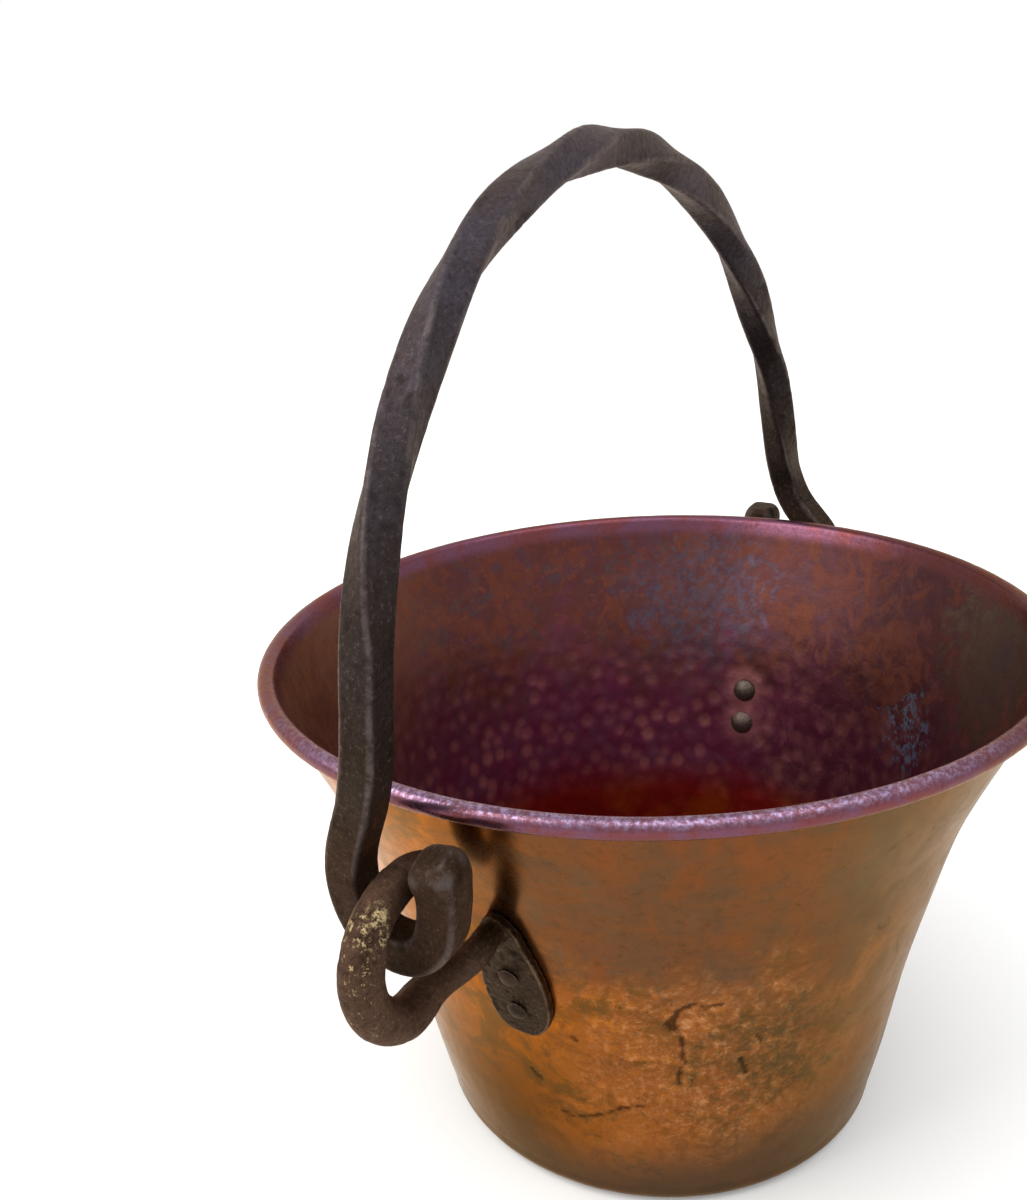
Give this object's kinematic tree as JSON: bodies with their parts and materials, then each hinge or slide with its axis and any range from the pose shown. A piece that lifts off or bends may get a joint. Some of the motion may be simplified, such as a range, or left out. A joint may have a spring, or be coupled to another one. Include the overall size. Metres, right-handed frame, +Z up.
{
  "type": "copper pail with an iron bail",
  "caption": "Small hammered copper pail with a wired rim, two riveted iron eye lugs and a twisted wrought-iron bail handle that swings through the eyes.",
  "frame": {"origin": "middle of the underside of the flat base, which is the bottom centre of the whole object", "axes": "+Z up along the pail's axis; X along the line through the two lugs, which the bail swings about, with the near lug at -X; Y across the mouth"},
  "size_m": [0.2108, 0.1634, 0.2089],
  "materials": {
    "copper": "hammered copper, tarnished",
    "rivet_iron": "hammered, dark",
    "forged_iron": "forged, pitted, waxed dark"
  },
  "bodies": {
    "pail": {"copper_shell": "copper", "rim_wire": "forged_iron", "near_lug": "forged_iron", "far_lug": "forged_iron", "near_upper_rivet": "rivet_iron", "near_lower_rivet": "rivet_iron", "far_upper_rivet": "rivet_iron", "far_lower_rivet": "rivet_iron"},
    "bail": {"bail": "forged_iron"}
  },
  "joints": [
    {"name": "bail_swing", "type": "hinge", "parent": "pail", "child": "bail", "pos_m": [0, 0, 0.1], "axis": [1, 0, 0], "range_deg": [-145, 147]}
  ]
}
